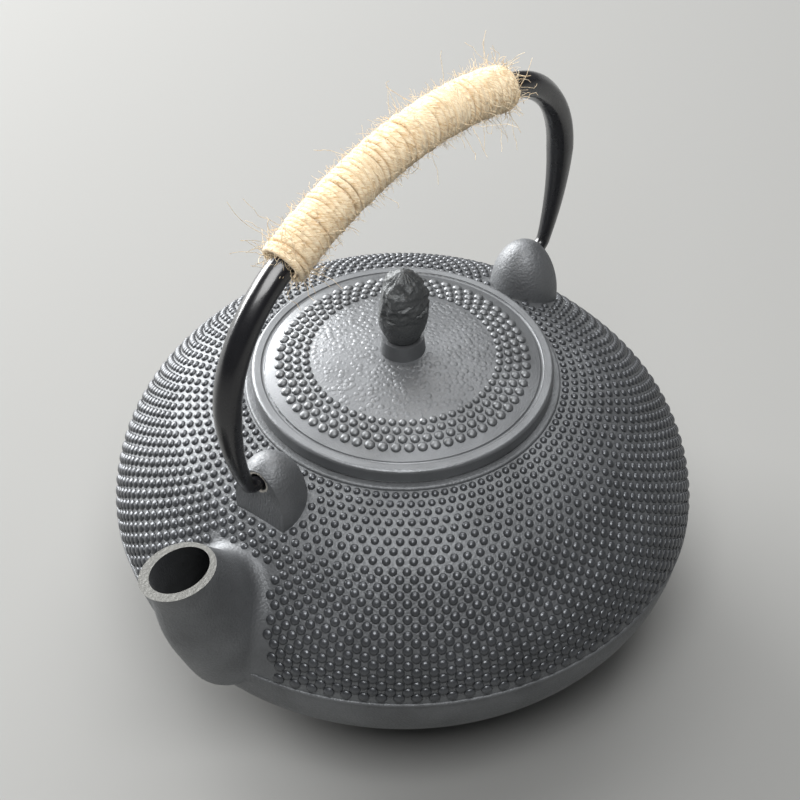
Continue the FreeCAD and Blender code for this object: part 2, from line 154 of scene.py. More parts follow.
class TeapotBail(bpy.types.PropertyGroup):
    """Path of the bail, the ears that it hangs in and the jute on it."""
    hinge_height: metres("Hinge height", "Height of the ear holes", 93.4)
    ear_face: metres("Ear face", "Distance of the ears' flat faces from the axis", 61.5)
    ear_depth: metres("Ear depth", "From an ear's face back to its middle", 5.0)
    ear_room: metres("Ear room", "Radius round an ear that stays free of nails", 10.9)
    ear_gap: metres("Ear gap", "From an ear's face to the nails before it", 0.7)
    half_span: metres("Half span", "Widest reach of the legs", 71.6)
    wide_rise: metres("Widest rise", "Height of the widest point above the hinge", 32.6)
    crown_rise: metres("Crown rise", "Height of the rod's top above the hinge", 78.2)
    crown_arc: metres("Crown arc", "Radius of the crown", 118.0)
    rod_radius: metres("Rod radius", "Radius of the rod", 3.9)
    hook_radius: metres("Hook radius", "Radius of the hooks", 2.0)
    hook_bend: metres("Hook bend", "Bend radius of the hooks", 4.0)
    hook_standoff: metres("Hook stand-off", "From the ear's face to the start of the bend", 0.5)
    hook_depth: metres("Hook depth", "How far the hooks reach into the ears", 4.7)
    wrap_share: fraction("Wrap share", "Share of the crown under jute", 0.98)
    wrap_rear: metres("Rear trim", "How much sooner the jute ends at the rear", 6.5)
    wrap_radius: metres("Wrap radius", "Outer radius of the winding", 6.6)
    yarn_radius: metres("Yarn radius", "Radius of the jute yarn", 0.82)
    yarn_turns: number("Yarn turns", "Turns of yarn on the grip", 78)
    yarn_lift: metres("Yarn lift", "How unevenly the turns lie", 0.9)
    fibre_count: number("Fibres", "Short fibres on the grip", 3000)
    long_fibres: number("Long fibres", "Long curled fibres on the grip", 80)
    tuft_fibres: number("Tuft fibres", "Fibres on 4 mm of the grip's ends", 55)
    fibre_length: metres("Fibre length", "Longest loose fibre", 12.5)


class TeapotInfuser(bpy.types.PropertyGroup):
    """Perforated wall of the infuser."""
    radius: metres("Radius", "Outer radius of the wall", 38.05)
    wall: metres("Wall", "Thickness of the sheet", 0.5)
    columns: number("Columns", "Holes round the wall", 96)
    rows: number("Rows", "Rows of holes", 20)
    hole_share: fraction("Hole share", "Open share of a cell's width", 0.62)


class TeapotColours(bpy.types.PropertyGroup):
    """Colours of the finishes and of the studio."""
    iron: colour("Iron", "Lacquered cast iron", "#707274")
    # Painted shade: the nails' colour is darker than the iron, for how the light falls on them.
    nail_iron: colour("Nail iron", "Rubbed crowns of the hobnails", "#55575a")
    knob_iron: colour("Knob iron", "Rough, darker iron of the bud", "#545657")
    ground_iron: colour("Ground iron", "Flat ground lip of the spout", "#6a6a67")
    # Painted glint: the bright ring round the ear holes, not a colour of the iron.
    glint_iron: colour("Bare iron", "Metal rubbed bare at the ear holes", "#c9c5bd")
    paint: colour("Paint", "Black enamel on the bail", "#17171a")
    jute: colour("Jute", "Pale jute yarn", "#f3e3c4")
    jute_dark: colour("Jute shadow", "Darker jute fibre", "#c29c66")
    steel: colour("Steel", "Stainless sheet", "#c4c4c2")
    floor: colour("Floor", "Studio floor", "#8a8a88")
    sky: colour("Sky", "Faint light from all round", "#f3f5f9")
    backdrop: colour("Backdrop", "What the camera sees behind the pot", "#eeeeee")


class TeapotStage(bpy.types.PropertyGroup):
    """Camera of the photograph."""
    turn: degrees("Turn", "Angle of the camera round the pot", 129.0)
    tilt: degrees("Tilt", "Angle of the camera above the table", 45.4)
    distance: metres("Distance", "From the camera to the pot's middle", 800.0)
    lens: focal_length("Lens", "Focal length of the camera in millimetres", 122.76)


def chosen(group):
    """The values of one property group."""
    return getattr(bpy.context.scene, "teapot_" + group)


# Node building

def fill(node, *values, **named):
    """Fills a node's sockets, in order or by name, with values, sockets or the first output of nodes."""
    links = dict(enumerate(values))
    links.update((name.replace("_", " "), value) for name, value in named.items())
    for socket, value in links.items():
        if isinstance(value, bpy.types.Node):
            value = value.outputs[0]
        if isinstance(value, bpy.types.NodeSocket):
            node.id_data.links.new(value, node.inputs[socket])
        else:
            node.inputs[socket].default_value = value


def add(tree, kind, *values, **named):
    """Adds a node of a kind, named without its prefix, or of a kind with an operation.

    Names in small letters set the node's properties, and all else fills its sockets.
    """
    settings = {name: named.pop(name) for name in list(named) if name.islower()}
    if isinstance(kind, tuple):
        kind, settings["operation"] = kind
    node = tree.nodes.new(next(p + kind for p in PREFIXES if hasattr(bpy.types, p + kind)))
    for name, value in settings.items():
        setattr(node, name, value)
    fill(node, *values, **named)
    return node


def new_tree(name, **inputs):
    """A geometry tree with named inputs, the function that adds nodes to it, and its input sockets."""
    tree = bpy.data.node_groups.new(name, "GeometryNodeTree")
    tree.interface.new_socket("Geometry", in_out="OUTPUT", socket_type="NodeSocketGeometry")
    tree.interface.new_socket("Geometry", in_out="INPUT", socket_type="NodeSocketGeometry")
    for label, kind in inputs.items():
        tree.interface.new_socket(label.replace("_", " "), in_out="INPUT", socket_type=SOCKETS[kind])
    tree.interface.new_socket("Material", in_out="INPUT", socket_type="NodeSocketMaterial")
    return tree, functools.partial(add, tree), tree.nodes.new("NodeGroupInput").outputs


def finish_tree(tree, geometry):
    """Ends a tree in Realize Instances and Set Material."""
    material = tree.nodes["Group Input"].outputs["Material"]
    real = add(tree, "RealizeInstances", Geometry=geometry)
    add(tree, "GroupOutput", add(tree, "SetMaterial", Geometry=real, Material=material))
    return tree


def linked_object(name, mesh):
    """An object in the scene that shows the mesh."""
    made = bpy.data.objects.new(name, mesh)
    bpy.context.scene.collection.objects.link(made)
    return made


def mesh_object(name, points, edges=(), faces=()):
    """An object made of plain points, edges and faces."""
    mesh = bpy.data.meshes.new(name)
    mesh.from_pydata([tuple(p) for p in points], edges, faces)
    mesh.update()
    return linked_object(name, mesh)


def line_object(points):
    """An open line through the points, for a tree to follow."""
    return mesh_object("line", points, [(i, i + 1) for i in range(len(points) - 1)])


def grow(name, host, tree, values, wall=0.0):
    """Runs a tree on a host object and returns the result as a plain mesh object."""
    modifier = host.modifiers.new(tree.name, "NODES")
    modifier.node_group = tree
    for item in tree.interface.items_tree:
        if item.item_type == "SOCKET" and item.in_out == "INPUT" and item.name in values:
            modifier[item.identifier] = values[item.name]
    if wall:
        sheet = host.modifiers.new("wall", "SOLIDIFY")
        sheet.thickness = wall
        sheet.offset = -1
    host.update_tag()
    graph = bpy.context.evaluated_depsgraph_get()
    mesh = bpy.data.meshes.new_from_object(host.evaluated_get(graph))
    mesh.name = name
    bpy.data.objects.remove(host)
    if not mesh.polygons:
        raise RuntimeError(name + " came out empty")
    return linked_object(name, mesh)


def seat(piece, body, slot, *nodes):
    """Ties a piece to its body and hides the frame nodes that it stands for; the slot is not used."""
    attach(piece, body)
    if nodes:
        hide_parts(*nodes)


def dress(node, material):
    """Gives a frame node its finish."""
    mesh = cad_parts[node].data
    mesh.materials.clear()
    mesh.materials.append(material)


# Geometry trees

def nail_tree():
    """Rows of domed nails round the upright axis, along the line that the host holds.

    Nails are left out round the ears and behind the spout. Where those inputs are zero, all nails stay.
    """
    tree, node, given = new_tree(
        "nail_rows", Rows=int, Nails_per_row=int, Row_spacing=float, Extra_spacing=float, Wide_rows=int,
        First_radius=float, Last_radius=float, Height=float, Ear_reach=float, Ear_room=float, Ear_face=float,
        Spout_room=float, Spout_taper=float, Spout_root=float, Spout_top=float)
    around = given["Nails per row"]
    path = node("MeshToCurve", Mesh=given["Geometry"])
    index = node("InputIndex")
    points = node("Points", Count=node(MULTIPLY, given["Rows"], around))
    row = node(FLOOR, node(DIVIDE, index, around))
    column = node(MODULO, index, around)
    spare = node(MULTIPLY, node(MINIMUM, row, given["Wide rows"]), given["Extra spacing"])
    along = node(MULTIPLY_ADD, row, given["Row spacing"], spare)
    sample = node("SampleCurve", Curves=path, Length=along, mode="LENGTH")
    shifted = node(MULTIPLY_ADD, node(MODULO, row, 2.0), 0.5, column)
    turn = node(MULTIPLY, shifted, node(DIVIDE, FULL_TURN, around))
    place = node("VectorRotate", Vector=sample.outputs["Position"], Angle=turn, rotation_type="Z_AXIS")
    out = node(V_CROSS, sample.outputs["Tangent"], ACROSS)
    facing = node("VectorRotate", Vector=out, Angle=turn, rotation_type="Z_AXIS")
    rows = node("SetPosition", Geometry=points, Position=place)
    spot = node("SeparateXYZ", place).outputs
    ahead = node(ABSOLUTE, spot["X"])
    aside = node(ABSOLUTE, spot["Y"])
    past = node(SUBTRACT, ahead, given["Ear reach"])
    distance = node(V_LENGTH, node("CombineXYZ", past, aside))
    beside_ear = node(GREATER, distance.outputs["Value"], given["Ear room"])
    before_ear = node(GREATER, ahead, given["Ear face"])
    clear_ear = node(MAXIMUM, beside_ear, before_ear)
    rise = node(SUBTRACT, spot["Z"], given["Spout root"])
    room = node(SUBTRACT, given["Spout room"], node(MULTIPLY, rise, given["Spout taper"]))
    behind = node(LESS, spot["X"], 0.0)
    beside = node(GREATER, aside, room)
    above = node(GREATER, spot["Z"], given["Spout top"])
    clear_spout = node(MAXIMUM, node(MAXIMUM, behind, beside), above)
    keep = node(MULTIPLY, clear_ear, clear_spout)
    last = node(SUBTRACT, given["Rows"], 1.0)
    radius = node("MapRange", Value=row, From_Min=0.0, From_Max=last, To_Min=given["First radius"],
                  To_Max=given["Last radius"])
    scale = node("CombineXYZ", radius, radius, given["Height"])
    turned = node("AlignRotationToVector", Vector=facing, axis="Z")
    nails = node("InstanceOnPoints", Points=rows, Selection=keep, Instance=dome(node, 10, 3),
                 Rotation=turned, Scale=scale)
    return finish_tree(tree, nails)


def dome(node, sides, levels):
    """A closed half ball of radius 1 on the plane z = 0, as the last node of a few in the tree."""
    cone = node("MeshCone", Vertices=sides, Side_Segments=levels, Radius_Top=0.0,
                Radius_Bottom=1.0, Depth=1.0, fill_type="NGON")
    place = node("SeparateXYZ", node("InputPosition")).outputs
    left = node(SUBTRACT, 1.0, place["Z"])
    not_zero = node(MAXIMUM, left, 0.0001)
    angle = node(MULTIPLY, left, QUARTER_TURN)
    swell = node(DIVIDE, node(SINE, angle), not_zero)
    x = node(MULTIPLY, place["X"], swell)
    y = node(MULTIPLY, place["Y"], swell)
    shaped = node("CombineXYZ", x, y, node(COSINE, angle))
    domed = node("SetPosition", Geometry=cone, Position=shaped)
    return node("SetShadeSmooth", Geometry=domed, Selection=cone.outputs["Side"])


def pebble_tree():
    """Low pebbles scattered evenly over the host's faces."""
    tree, node, given = new_tree(
        "lid_pebbles", Spacing=float, Density=float, Radius=float, Height=float, Seed=int)
    spots = node("DistributePointsOnFaces", Mesh=given["Geometry"], Distance_Min=given["Spacing"],
                 Density_Max=given["Density"], Seed=given["Seed"], distribute_method="POISSON")
    chance = node("RandomValue", Min=0.75, Max=1.15, Seed=given["Seed"], data_type="FLOAT")
    flat = node("CombineXYZ", given["Radius"], given["Radius"], given["Height"])
    scale = node(V_SCALE, flat, Scale=chance.outputs["Value"])
    pebbles = node("InstanceOnPoints", Points=spots, Instance=dome(node, 9, 3),
                   Rotation=spots.outputs["Rotation"], Scale=scale)
    return finish_tree(tree, pebbles)


def winding_tree():
    """One yarn wound close round the path that the host holds, with its turns pushed about a little."""
    tree, node, given = new_tree(
        "jute_winding", Turns=int, Steps_per_turn=int, Winding_radius=float, Yarn_radius=float,
        Unevenness=float, Start_turn=float)
    path = node("MeshToCurve", Mesh=given["Geometry"])
    count = node(MULTIPLY, given["Turns"], given["Steps per turn"])
    line = node("ResampleCurve", Curve=node("CurvePrimitiveLine"), Count=count)
    share = node("SplineParameter").outputs["Factor"]
    turns = node(MULTIPLY_ADD, share, given["Turns"], given["Start turn"])
    turn = node(MULTIPLY, turns, FULL_TURN)
    wave = node("TexNoise", W=turns, Scale=2.3, Detail=2.0, noise_dimensions="1D")
    lift = node(SUBTRACT, wave, 0.5)
    drift = node("TexNoise", W=turns, Scale=0.9, Detail=1.0, noise_dimensions="1D")
    sway = node(SUBTRACT, drift, 0.5)
    factor = node(MULTIPLY_ADD, sway, node(DIVIDE, 2.2, given["Turns"]), share)
    sample = node("SampleCurve", Curves=path, Factor=factor, mode="FACTOR")
    out = node(V_CROSS, sample.outputs["Tangent"], ACROSS)
    reach = node(MULTIPLY_ADD, lift, given["Unevenness"], given["Winding radius"])
    upward = node(V_SCALE, out, Scale=node(COSINE, turn))
    sideways = node(V_SCALE, ACROSS, Scale=node(SINE, turn))
    offset = node(V_SCALE, node(V_ADD, upward, sideways), Scale=reach)
    place = node(V_ADD, sample.outputs["Position"], offset)
    wound = node("SetPosition", Geometry=line, Position=place)
    marked = node("StoreNamedAttribute", Geometry=wound, Name="along", Value=turns)
    section = node("CurvePrimitiveCircle", Resolution=7, Radius=given["Yarn radius"])
    ring = node("SplineParameter").outputs["Factor"]
    ringed = node("StoreNamedAttribute", Geometry=section, Name="around", Value=ring)
    yarn = node("CurveToMesh", Curve=marked, Profile_Curve=ringed, Fill_Caps=True)
    return finish_tree(tree, node("SetShadeSmooth", Geometry=yarn))


def fibre_tree():
    """Loose fibres that stand out of the host's faces, each bent its own way."""
    tree, node, given = new_tree(
        "loose_fibres", Density=float, Shortest=float, Longest=float, Thickness=float, Lean=float,
        Curl=float, Seed=int)
    spots = node("DistributePointsOnFaces", Mesh=given["Geometry"], Density=given["Density"],
                 Seed=given["Seed"], distribute_method="RANDOM")
    line = node("CurvePrimitiveLine", Start=(0, 0, 0), End=(0, 0, 1))
    hair = node("ResampleCurve", Curve=line, Count=8)
    lean = node("RandomValue", Min=(-1, -1, -1), Max=(1, 1, 1), Seed=given["Seed"], data_type="FLOAT_VECTOR")
    leaning = node(V_SCALE, lean.outputs["Value"], Scale=given["Lean"])
    way = node(V_ADD, spots.outputs["Normal"], leaning)
    turned = node("AlignRotationToVector", Vector=way, axis="Z")
    draw = node("RandomValue", Min=0.0, Max=1.0, Seed=7, data_type="FLOAT")
    skew = node(POWER, draw.outputs["Value"], 3.0)
    length = node("MapRange", Value=skew, To_Min=given["Shortest"], To_Max=given["Longest"])
    hairs = node("InstanceOnPoints", Points=spots, Instance=hair, Rotation=turned, Scale=length)
    real = node("RealizeInstances", Geometry=hairs)
    growth = node(POWER, node("SplineParameter").outputs["Factor"], 1.6)
    bend = node("TexNoise", Scale=240.0, Detail=1.0, noise_dimensions="3D")
    centred = node(V_SUBTRACT, bend.outputs["Color"], (0.5, 0.5, 0.5))
    push = node("RandomValue", Min=(-0.45, -0.45, -0.45), Max=(0.45, 0.45, 0.45), Seed=given["Seed"],
                ID=node("CurveOfPoint").outputs["Curve Index"], data_type="FLOAT_VECTOR")
    sway = node(V_ADD, centred, push.outputs["Value"])
    amount = node(MULTIPLY, growth, given["Curl"])
    offset = node(V_SCALE, sway, Scale=amount)
    bent = node("SetPosition", Geometry=real, Offset=offset)
    section = node("CurvePrimitiveCircle", Resolution=3, Radius=given["Thickness"])
    fibres = node("CurveToMesh", Curve=bent, Profile_Curve=section, Fill_Caps=True)
    return finish_tree(tree, node("SetShadeSmooth", Geometry=fibres))


def sheet_tree():
    """Perforated sheet bent into an upright cylinder."""
    tree, node, given = new_tree(
        "perforated_sheet", Columns=int, Rows=int, Radius=float, Bottom=float, Height=float, Hole_share=float)
    wide = node(ADD, given["Columns"], 1.0)
    tall = node(ADD, given["Rows"], 1.0)
    grid = node("MeshGrid", Size_X=FULL_TURN, Size_Y=1.0, Vertices_X=wide, Vertices_Y=tall)
    raised = node("ExtrudeMesh", Mesh=grid, Offset_Scale=0.0, Individual=True, mode="FACES")
    holes = node("ScaleElements", Geometry=raised, Selection=raised.outputs["Top"],
                 Scale=given["Hole share"], domain="FACE")
    open_sheet = node("DeleteGeometry", Geometry=holes, Selection=raised.outputs["Top"], domain="FACE")
    flat = node("SeparateXYZ", node("InputPosition")).outputs
    ahead = node("CombineXYZ", given["Radius"])
    bent = node("VectorRotate", Vector=ahead, Angle=flat["X"], rotation_type="Z_AXIS")
    share = node(ADD, flat["Y"], 0.5)
    height = node(MULTIPLY_ADD, share, given["Height"], given["Bottom"])
    place = node(V_ADD, bent, node("CombineXYZ", Z=height))
    wall = node("SetPosition", Geometry=open_sheet, Position=place)
    joined = node("MergeByDistance", Geometry=wall, Distance=0.02 * MM)
    rounded = node("SubdivisionSurface", Mesh=joined, Level=1)
    return finish_tree(tree, node("SetShadeSmooth", Geometry=rounded))


# Finishes

def new_material(name):
    """A material, the function that adds nodes to its tree, its shader and its object coordinates."""
    made = bpy.data.materials.new(name)
    made.use_nodes = True
    node = functools.partial(add, made.node_tree)
    shader = made.node_tree.nodes["Principled BSDF"]
    return made, node, shader, node("TexCoord").outputs["Object"]


def opaque(shade):
    """RGBA of a colour."""
    return tuple(shade) + (1.0,)


def grains(size_mm):
    """Noise scale, in grains to the metre, for a grain of that size."""
    return 1 / (size_mm * MM)


def lacquered_iron(name, shade, grain_mm, depth, rough_low, rough_high):
    """Sand-cast iron under thin heat-proof lacquer: a dark satin grey with a fine sandy grain."""
    made, node, shader, place = new_material(name)
    cloud = node("TexNoise", Vector=place, Scale=grains(14), Detail=4.0)
    tone = node("ValToRGB", Fac=cloud)
    for stop, position, share in zip(tone.color_ramp.elements, (0.3, 0.7), (0.82, 1.14)):
        stop.position = position
        stop.color = opaque(c * share for c in shade)
    sand = node("TexNoise", Vector=place, Scale=grains(grain_mm), Detail=3.0)
    gloss = node("MapRange", Value=sand, From_Min=0.3, From_Max=0.7, To_Min=rough_low, To_Max=rough_high)
    relief = node("Bump", Height=sand, Strength=depth, Distance=0.3 * MM)
    fill(shader, Base_Color=tone, Roughness=gloss, Normal=relief, Metallic=0.6)
    return made


def pot_iron():
    """Pot casting: the lacquered iron with a ground spout lip, filed ear faces and a painted glint round the
    ear holes.
    """
    colours, bail = chosen("colours"), chosen("bail")
    made = lacquered_iron("cast_iron_sand_cast_lacquered", colours.iron, 0.7, 0.75, 0.46, 0.62)
    node = functools.partial(add, made.node_tree)
    shader = made.node_tree.nodes["Principled BSDF"]
    coordinates = node("TexCoord").outputs
    place = coordinates["Object"]
    spot = node("SeparateXYZ", place).outputs
    facing = node("SeparateXYZ", coordinates["Normal"]).outputs
    # The lip is what lies level, far out to the front and high up.
    level = node(GREATER, facing["Z"], 0.985)
    out_front = node(GREATER, spot["X"], 80 * MM)
    high = node(GREATER, spot["Z"], 85 * MM)
    lip = node(MULTIPLY, node(MULTIPLY, level, out_front), high)
    cast = shader.inputs["Base Color"].links[0].from_socket
    ground = node("Mix", Factor=lip, A=cast, B=opaque(colours.ground_iron), data_type="RGBA")
    # The ear faces stand square to X, and a file has left slanting marks on them.
    face_depth = 0.6 * MM
    reach = node(ABSOLUTE, spot["X"])
    on_face = node(COMPARE, reach, bail.ear_face, face_depth)
    square = node(GREATER, node(ABSOLUTE, facing["X"]), 0.97)
    filed = node(MULTIPLY, on_face, square)
    slant = node("Mapping", Vector=place, Rotation=(math.radians(40), 0, 0), Scale=(1, 1, 0.25))
    scratch = node("TexNoise", Vector=slant, Scale=grains(0.5), Detail=2.0)
    # A ragged ring round each hole is painted bright and fully metallic: a painted glint for the light caught
    # at the hole's edge.
    drop = node(SUBTRACT, spot["Z"], bail.hinge_height)
    from_hole = node(V_LENGTH, node("CombineXYZ", spot["Y"], drop))
    ragged = node(MULTIPLY_ADD, scratch, 1.2 * MM, 2.75 * MM)
    near_hole = node(LESS, from_hole.outputs["Value"], ragged)
    outside = node(GREATER, reach, bail.ear_face - face_depth)
    glint_ring = node(MULTIPLY, near_hole, outside)
    painted_light_iron = node("Mix", Factor=glint_ring, A=ground.outputs["Result"], B=opaque(colours.glint_iron),
                  data_type="RGBA")
    glint_metal = node(MULTIPLY_ADD, glint_ring, 0.4, 0.6)
    sandy = shader.inputs["Normal"].links[0].from_socket
    rasped = node("Bump", Height=scratch, Strength=filed, Distance=0.35 * MM, Normal=sandy)
    fill(shader, Base_Color=painted_light_iron.outputs["Result"], Metallic=glint_metal, Normal=rasped)
    return made


def black_enamel():
    """Forged steel rod under black stove enamel: deep black, glossy, with soft lengthways ripples."""
    made, node, shader, place = new_material("steel_forged_black_enamel")
    fine = node("TexNoise", Vector=place, Scale=grains(3.5), Detail=2.0)
    gloss = node("MapRange", Value=fine, To_Min=0.2, To_Max=0.36)
    ripple = node("Bump", Height=fine, Strength=0.25, Distance=0.15 * MM)
    fill(shader, Base_Color=opaque(chosen("colours").paint), Roughness=gloss, Normal=ripple, Coat_Weight=0.4,
         Coat_Roughness=0.12)
    return made


def jute_yarn(name, wound):
    """Spun jute: pale straw gold, matt, streaked along the yarn with darker bast fibre."""
    made, node, shader, place = new_material(name)
    colours = chosen("colours")
    source, scale = place, grains(0.5)
    if wound:
        # The streaks follow the yarn's own twist, nine plies to a turn of the winding.
        along, around = (node("Attribute", attribute_name=label).outputs["Fac"]
                         for label in ("along", "around"))
        twist = node(MULTIPLY_ADD, along, 9.0, around)
        angle = node(MULTIPLY, twist, FULL_TURN)
        ply = node("CombineXYZ", along, node(COSINE, angle), node(SINE, angle))
        source, scale = node(V_MULTIPLY, ply, (7.0, 1.6, 1.6)), 1.0
    streak = node("TexNoise", Vector=source, Scale=scale, Detail=4.0, Roughness=0.7)
    tone = node("ValToRGB", Fac=streak)
    shades = (colours.jute_dark, colours.jute)
    for stop, position, shade in zip(tone.color_ramp.elements, (0.34, 0.58), shades):
        stop.position = position
        stop.color = opaque(shade)
    relief = node("Bump", Height=streak, Strength=0.7, Distance=0.2 * MM)
    fill(shader, Base_Color=tone, Normal=relief, Roughness=0.85, Sheen_Weight=0.25)
    return made


def satin_steel():
    """Stainless sheet, rolled and satin brushed: bright grey with fine streaks round the form."""
    name = "stainless_steel_brushed"
    if name in bpy.data.materials:
        return bpy.data.materials[name]
    made, node, shader, place = new_material(name)
    level = node("Mapping", Vector=place, Scale=(0.06, 0.06, 1.0))
    brush = node("TexNoise", Vector=level, Scale=grains(0.3), Detail=2.0)
    gloss = node("MapRange", Value=brush, To_Min=0.22, To_Max=0.4)
    relief = node("Bump", Height=brush, Strength=0.12, Distance=0.05 * MM)
    fill(shader, Base_Color=opaque(chosen("colours").steel), Metallic=1.0, Roughness=gloss, Normal=relief)
    return made


# Outlines

def shoulder_outline(inset, steps):
    """Points of the pot's upper outline from the rim to the parting line, moved inwards by the inset."""
    pot = chosen("pot")
    out = Vector((math.cos(pot.flank_tilt), 0, math.sin(pot.flank_tilt)))
    along = Vector((-out.z, 0, out.x))
    centre = Vector((pot.belly_radius - pot.belly_arc, 0, pot.parting_height))
    flank_low = centre + out * pot.belly_arc
    flank_high = flank_low + along * pot.flank_length
    rim = Vector((pot.rim_radius, 0, pot.shoulder_height))
    chord = rim - flank_high
    wide_radius = -chord.dot(chord) / (2 * chord.dot(out))
    wide_centre = flank_high - out * wide_radius
    rim_out = (rim - wide_centre) / wide_radius
    points = []
    for i in range(steps + 1):
        way = rim_out.lerp(out, i / steps).normalized()
        points.append(wide_centre + way * (wide_radius - inset))
    for i in range(steps + 1):
        angle = pot.flank_tilt * (1 - i / steps)
        points.append(centre + Vector((math.cos(angle), 0, math.sin(angle))) * (pot.belly_arc - inset))
    return points


def trimmed(points, length):
    """The points without those that lie within the length from the start."""
    while (points[1] - points[0]).length <= length:
        length -= (points[1] - points[0]).length
        points = points[1:]
    return points


def lid_height(radius):
    """Height of the lid's crown at a radius."""
    lid = chosen("lid")
    high = lid.top_height + lid.crown
    squares = lid.groove_radius ** 2 + lid.top_height ** 2 - lid.seat_radius ** 2 - high ** 2
    centre = squares / (-2 * lid.crown)
    curve = math.hypot(lid.groove_radius, lid.top_height - centre)
    return centre + math.sqrt(curve ** 2 - radius ** 2)


def bail_crown():
    """Half the angle of the bail's crown arc, the height of the arc's centre and the shoulder's reach."""
    bail = chosen("bail")
    centre = bail.hinge_height + bail.crown_rise - bail.crown_arc
    gap = bail.crown_arc - bail.half_span
    drop = bail.hinge_height + bail.wide_rise - centre
    reach = (gap ** 2 + drop ** 2) / (2 * gap)
    return math.acos(drop / reach), centre, reach


def on_arc(x, z, radius, angle):
    """Point on an upright arc round x and z, with the angle counted from the top towards +X."""
    return Vector((x + radius * math.sin(angle), 0, z + radius * math.cos(angle)))


def crown_points(share, steps):
    """Points along the jute's part of the crown, from -X to +X, drawn in at both ends by the share."""
    bail = chosen("bail")
    spread, centre, _ = bail_crown()
    front = spread * bail.wrap_share * share
    rear = front - bail.wrap_rear / bail.crown_arc
    angles = [(front + rear) * i / steps - rear for i in range(steps + 1)]
    return [on_arc(0, centre, bail.crown_arc, angle) for angle in angles]


def bail_path():
    """Centreline of half the bail, from the crown's middle to the tip, with the rod's radius there."""
    bail = chosen("bail")
    spread, centre, reach = bail_crown()
    wide = bail.hinge_height + bail.wide_rise
    hook_start = bail.ear_face + bail.hook_standoff
    inset = bail.half_span - hook_start
    fall = bail.wide_rise - bail.hook_bend
    leg_arc = (inset ** 2 + fall ** 2 - bail.hook_bend ** 2) / (2 * (inset - bail.hook_bend))
    leg, hook = bail.half_span - leg_arc, bail.hinge_height + bail.hook_bend
    lean = QUARTER_TURN + math.atan2(wide - hook, hook_start - leg)
    # Each arc: its centre's x and z, radius, first and last angle, steps, and the rod's radius at its end
    arcs = (
        (0, centre, bail.crown_arc, 0.0, spread, 24, bail.rod_radius),
        (reach * math.sin(spread), wide, bail.crown_arc - reach, spread, QUARTER_TURN, 24, bail.rod_radius),
        (leg, wide, leg_arc, QUARTER_TURN, lean, 24, bail.hook_radius),
        (hook_start, hook, bail.hook_bend, lean, math.pi, 12, bail.hook_radius),
    )
    points = [(on_arc(0, centre, bail.crown_arc, 0.0), bail.rod_radius)]
    for x, z, radius, first, last, steps, thin in arcs:
        thick = points[-1][1]
        for i in range(1, steps + 1):
            share = i / steps
            spot = on_arc(x, z, radius, first + (last - first) * share)
            points.append((spot, thick + (thin - thick) * share))
    tip = Vector((bail.ear_face - bail.hook_depth, 0, bail.hinge_height))
    points.append((points[-1][0].lerp(tip, 0.9), bail.hook_radius))
    points.append((tip, bail.hook_radius * 0.8))
    return points


def ring_points(radius, height, sides):
    """Points of a level ring round the upright axis."""
    angles = [FULL_TURN * k / sides for k in range(sides)]
    return [Vector((radius * math.cos(a), radius * math.sin(a), height)) for a in angles]


def ring_faces(rings, sides):
    """Four-sided faces between rings of points that follow each other."""
    corners = [(i * sides + k, i * sides + (k + 1) % sides) for i in range(rings - 1) for k in range(sides)]
    return [(a, b, b + sides, a + sides) for a, b in corners]


def closed_tube(name, points, sides, material=None, sharp=35):
    """Rings of points joined to a tube with closed ends, turned outwards, smooth but for sharp edges."""
    faces = ring_faces(len(points) // sides, sides)
    faces += [tuple(range(sides)), tuple(range(len(points) - sides, len(points)))]
    made = mesh_object(name, points, faces=faces)
    shape = bmesh.new()
    shape.from_mesh(made.data)
    bmesh.ops.remove_doubles(shape, verts=shape.verts, dist=1e-6)
    bmesh.ops.recalc_face_normals(shape, faces=shape.faces)
    for face in shape.faces:
        face.smooth = True
    for edge in shape.edges:
        if len(edge.link_faces) == 2 and edge.calc_face_angle(0) > math.radians(sharp):
            edge.smooth = False
    shape.to_mesh(made.data)
    shape.free()
    if material:
        made.data.materials.append(material)
    return made


def sweep(name, path, sides, material=None, section=lambda angle, i: 1.0):
    """Tube along a flat path in the XZ plane; the section gives a radius share for each side and point."""
    points = []
    for i, (spot, radius) in enumerate(path):
        before = path[max(i - 1, 0)][0]
        after = path[min(i + 1, len(path) - 1)][0]
        out = (after - before).normalized().cross(ACROSS)
        for k in range(sides):
            angle = FULL_TURN * k / sides
            share = radius * section(angle, i)
            points.append(spot + (out * math.cos(angle) + ACROSS * math.sin(angle)) * share)
    return closed_tube(name, points, sides, material)


def rod_facets(angle, i):
    """Radius share of the forged rod: six soft facets that waver a little along it."""
    return 1 - 0.022 * (1 - math.cos(6 * angle + 0.4)) + 0.008 * math.sin(2 * angle + 0.17 * i)


def bud_radius(share):
    """Plain radius of the bud at a share of its height."""
    lid = chosen("lid")
    wide = lid.knob_wide / lid.knob_height
    if share < wide:
        return lid.knob_radius * (1 - 0.38 * ((wide - share) / wide) ** 2.2)
    left = (share - wide) / (1 - wide)
    return lid.knob_radius * max(0.1, (1 - left ** 2.2) ** 0.6)


def bud_relief(share, angle):
    """Height of the hewn scales on the bud's upper part."""
    lid = chosen("lid")
    upper = min(1, max(0, (share - 0.28) / 0.2))
    row = (share - 0.3) * 5.5 + 0.3 * math.sin(angle * 2 + 1.1)
    scale = math.cos(angle * 4 + (math.floor(row) % 2) * math.pi)
    ridge = (row % 1) ** 1.4 * (0.6 + 0.4 * scale)
    around = Vector((math.cos(angle), math.sin(angle), 0)) * lid.knob_radius
    spot = (around + UP * lid.knob_height * share) / MM
    rough = noise.noise(spot * 0.35) * 0.8 + noise.noise(spot * 0.8) * 0.6
    return (upper * (ridge - 0.5) * 0.8 + rough * (0.12 + 0.88 * upper)) * MM


# Operators

